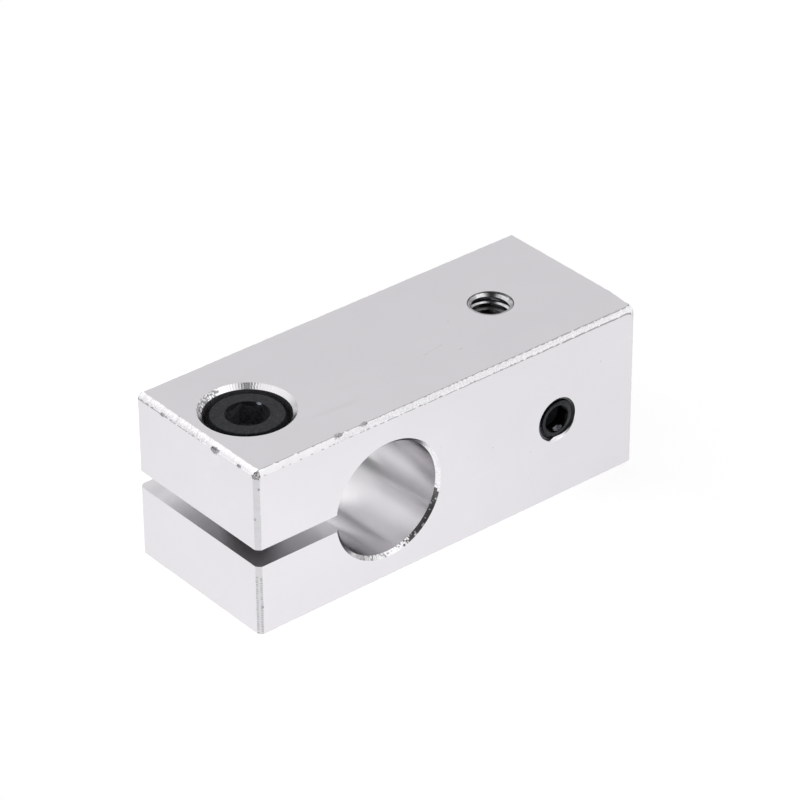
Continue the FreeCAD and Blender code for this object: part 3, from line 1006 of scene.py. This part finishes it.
# A broached socket: rounded hexagon, countersunk mouth and a drill point at the bottom.
def socketCuts(form, top, place):
    segments = threadForm["segments"]
    keyAbove, mouthAbove = socketForm["above"]
    floor = top - form["keyDepth"]
    outline = hexagon(form["key"], form["keyTurn"], form["keyCorner"])
    key = prism(outline, floor, top + keyAbove, form["keySlot"])
    mouth = form["key"] / math.sqrt(3) + form["mouthRim"]
    profile = [(0, top + mouthAbove), (mouth + mouthAbove, top + mouthAbove), (0, top - mouth)]
    cone = turnedSolid(profile, segments, [form["mouthSlot"]] * 2)
    drill = form["key"] / 2 * socketForm["drillShare"]
    start = floor + socketForm["drillStart"]
    slope = math.tan(math.radians(socketForm["drillPoint"] / 2))
    profile = [(0, start), (drill, start), (drill, floor), (0, floor - drill / slope)]
    point = turnedSolid(profile, segments, [form["keySlot"]] * 3)
    return [(shape, place) for shape in (key, cone, point)]

# Cuts the light spots as small dents with the light oxide: painted glints on the clamp screw, a lighter spot
# on the set screw.
def wornSpots(form, top, place):
    cuts = []
    for angle, reach, below, halfWidth, depth, facing in form["wornSpots"]:
        turn = math.radians(angle)
        inward = Vector((-math.cos(turn), -math.sin(turn), 0))
        spot = Vector((0, 0, top - below)) - inward * reach
        along = Vector((inward.y, -inward.x, 0))
        outward = inward + Vector((0, 0, facing))
        bm, where = dent(spot, outward, along, halfWidth, depth, glintAndSpotSlot, socketForm["markStretch"])
        cuts.append((bm, place @ where))
    return cuts

def screwRod(tip, end, crestAt, limit):
    outer, inner = threadForm["rodOuter"], threadForm["rodInner"]
    return threadedRod(outer, inner, tip, end, crestAt, headSlot, limit=limit)

def makeClampScrew():
    form = clampScrewForm
    top = screwHigh.z
    tip = screwLow.z
    bevel = form["headChamfer"]
    inShare, downShare = form["chamferRound"]
    chamfer = form["seatChamfer"]
    band = headSeat + form["plainBand"]
    rings = [  # radius, height and how much of the knurl is there
        (0, headSeat, 0), (headRadius - chamfer, headSeat, 0), (headRadius, headSeat + chamfer, 0),
        (headRadius, band, 0), (headRadius, band + form["knurlStart"], 1), (headRadius, top - bevel, 1),
        (headRadius - bevel * inShare, top - bevel * downShare, 0), (headRadius - bevel, top, 0), (0, top, 0),
    ]
    # The knurls have the lighter oxide, painted light; the lower part of the bevel has the near-black oxide,
    # painted shade.
    finishes = [headSlot] * 4 + [litRecessSlot, shadedSlot] + [headSlot] * 2

    def knurl(row, angle):
        wave = (angle * form["knurls"] / (2 * math.pi)) % 1.0
        return -form["knurlDepth"] * rings[row][2] * max(0.0, 1.0 - abs(wave - 0.5) * 4)

    def limit(height):
        if height > headSeat - form["neck"]:
            return threadForm["rodInner"]
        return threadForm["rodEnd"] + (height - tip)

    profile = [(radius, height) for radius, height, share in rings]
    head = turnedSolid(profile, form["knurls"] * form["knurlSteps"], finishes, knurl)
    screw = makeObject("clampScrew", head, screwFinishes, screwPlace)
    shank = screwRod(tip, headSeat + form["shankInHead"], tip, limit)
    cuts = socketCuts(form, top, screwPlace) + wornSpots(form, top, screwPlace)
    carve(screw, cuts, joins=[(shank, screwPlace)])
    finishMesh(screw)
    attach(screw, "clamp_screw")
    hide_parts("clamp_screw")

setScrewForm = {
    "key": 2.8,
    "keyDepth": 1.4,
    "keyTurn": 12.0,
    "keyCorner": 0.08,
    "mouthRim": -0.02,
    # Mouth and key both have the near-black oxide, painted shade.
    "mouthSlot": shadedSlot,
    "keySlot": shadedSlot,
    "endSlope": 2.0,
    # A lighter spot in the socket, cut as a small dent with the light oxide.
    "wornSpots": [(-74.0, 1.40, 0.24, 0.42, 0.16, 0.0)],
}

def makeSetScrew():
    form = setScrewForm
    end = -setLow.y
    tip = -setHigh.y

    def limit(height):
        return threadForm["rodEnd"] + form["endSlope"] * min(height - tip, end - height)

    screw = makeObject("sideSetScrew", screwRod(tip, end, sideCrest, limit), screwFinishes, setPlace)
    carve(screw, socketCuts(form, end, setPlace) + wornSpots(form, end, setPlace))
    finishMesh(screw)
    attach(screw, "side_set_screw")
    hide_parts("side_set_screw")

makeClampScrew()
makeSetScrew()

# Floor, light and camera

# The floor glows like a light table, a little more in pools: middle, reach and glow added.
floorForm = {
    "halfWidth": 3000.0,
    "tone": 0.25,
    "spread": 0.01,
    "grain": 3.0,
    "cloud": 90.0,
    "rough": 0.9,
    "glow": 0.785,
    "pools": [
        ((-14.0, -24.0, 0.0), 42.0, 0.18),
        ((-3.0, 23.0, 0.0), 16.0, 0.66),
        ((-38.0, 12.0, 0.0), 34.0, 0.10),
    ],
}

def makeFloor():
    form = floorForm
    material, tree, shader = newMaterial("paleFloor")
    low, high = (grey(form["tone"] + side * form["spread"]) for side in (-1, 1))
    tree.links.new(mixTones(tree, placeGrain(tree, form)["Cloud"], low, high), shader.inputs["Base Color"])
    place = objectPlace(tree)
    glow = form["glow"]
    for middle, reach, added in form["pools"]:
        away = addNode(tree, "VectorMath", {0: place, 1: Vector(middle) * millimetre}, operation="DISTANCE")
        share = mapTo(tree, away.outputs["Value"], added, 0.0, 0.0, reach * millimetre)
        glow = calculate(tree, "ADD", glow, share)
    tree.links.new(glow, shader.inputs["Emission Color"])
    shader.inputs["Emission Strength"].default_value = 1.0
    shader.inputs["Roughness"].default_value = form["rough"]
    half = form["halfWidth"]
    bm = bmesh.new()
    outline = ((-half, -half), (half, -half), (half, half), (-half, half))
    bm.faces.new([bm.verts.new((x, y, 0)) for x, y in outline])
    floor = makeObject("floor", bm, [material])
    floor.data.transform(Matrix.Scale(millimetre, 4))

makeFloor()

# Soft studio dome: direction, half angle where it is full, half angle where it ends, strength added.
studioForm = {
    "base": 0.55,
    "least": 0.02,
    "glows": [
        ((0.0, 0.0, 1.0), 30.0, 62.0, 0.50),
        ((0.54, 0.66, 0.52), 20.0, 50.0, 0.12),
        ((0.54, -0.68, 0.46), 20.0, 40.0, 0.45),
        ((-0.36, 0.65, 0.67), 14.0, 36.0, 0.37),
        ((-0.52, -0.75, 0.38), 20.0, 36.0, -0.28),
        ((-0.33, -0.40, 0.85), 7.0, 13.0, -0.45),
        ((-0.15, -0.19, 0.97), 11.0, 23.0, -0.95),
        ((-0.75, 0.66, 0.06), 6.0, 16.0, -0.25),
    ],
}

def makeStudio():
    world = bpy.data.worlds.new("softStudio")
    bpy.context.scene.world = world
    world.use_nodes = True
    tree = world.node_tree
    direction = addNode(tree, "TexCoord").outputs["Generated"]
    total = studioForm["base"]
    for aim, inner, outer, strength in studioForm["glows"]:
        vectors = {0: direction, 1: Vector(aim).normalized()}
        facing = addNode(tree, "VectorMath", vectors, operation="DOT_PRODUCT").outputs["Value"]
        edges = [math.cos(math.radians(angle)) for angle in (outer, inner)]
        glow = mapTo(tree, facing, 0.0, strength, *edges, interpolation_type="SMOOTHSTEP")
        total = calculate(tree, "ADD", total, glow)
    background = tree.nodes["Background"]
    tree.links.new(calculate(tree, "MAXIMUM", total, studioForm["least"]), background.inputs["Strength"])
    background.inputs["Color"].default_value = (1.0, 1.0, 1.0, 1.0)
    bpy.context.scene.view_settings.view_transform = "Standard"

makeStudio()
print("floor and studio made")

# The camera: turned about the middle of the block's base, distances in millimetres, focal length in pixels.
cameraForm = {
    "azimuth": -39.53,
    "elevation": 32.06,
    "roll": -0.40,
    "distance": 421.7,
    "aimRight": 0.91,
    "aimUp": 11.45,
    "focalPixels": 3966.7,
    "imageWidth": 800,
    "sensorWidth": 36.0,
}

def makeCamera():
    form = cameraForm
    azimuth, elevation, roll = (math.radians(form[name]) for name in ("azimuth", "elevation", "roll"))
    back = Vector((math.sin(azimuth) * math.cos(elevation), -math.cos(azimuth) * math.cos(elevation),
                   math.sin(elevation)))
    level = Vector((math.cos(azimuth), math.sin(azimuth), 0))
    upright = back.cross(level)
    right = math.cos(roll) * level + math.sin(roll) * upright
    up = -math.sin(roll) * level + math.cos(roll) * upright
    data = bpy.data.cameras.new("camera")
    data.sensor_width = form["sensorWidth"]
    data.lens = form["focalPixels"] / form["imageWidth"] * form["sensorWidth"]
    camera = bpy.data.objects.new("camera", data)
    camera.matrix_world = Matrix((right, up, back)).transposed().to_4x4()
    camera.location = (right * form["aimRight"] + up * form["aimUp"] + back * form["distance"]) * millimetre
    bpy.context.scene.collection.objects.link(camera)
    bpy.context.scene.camera = camera

makeCamera()

print("scene ready")
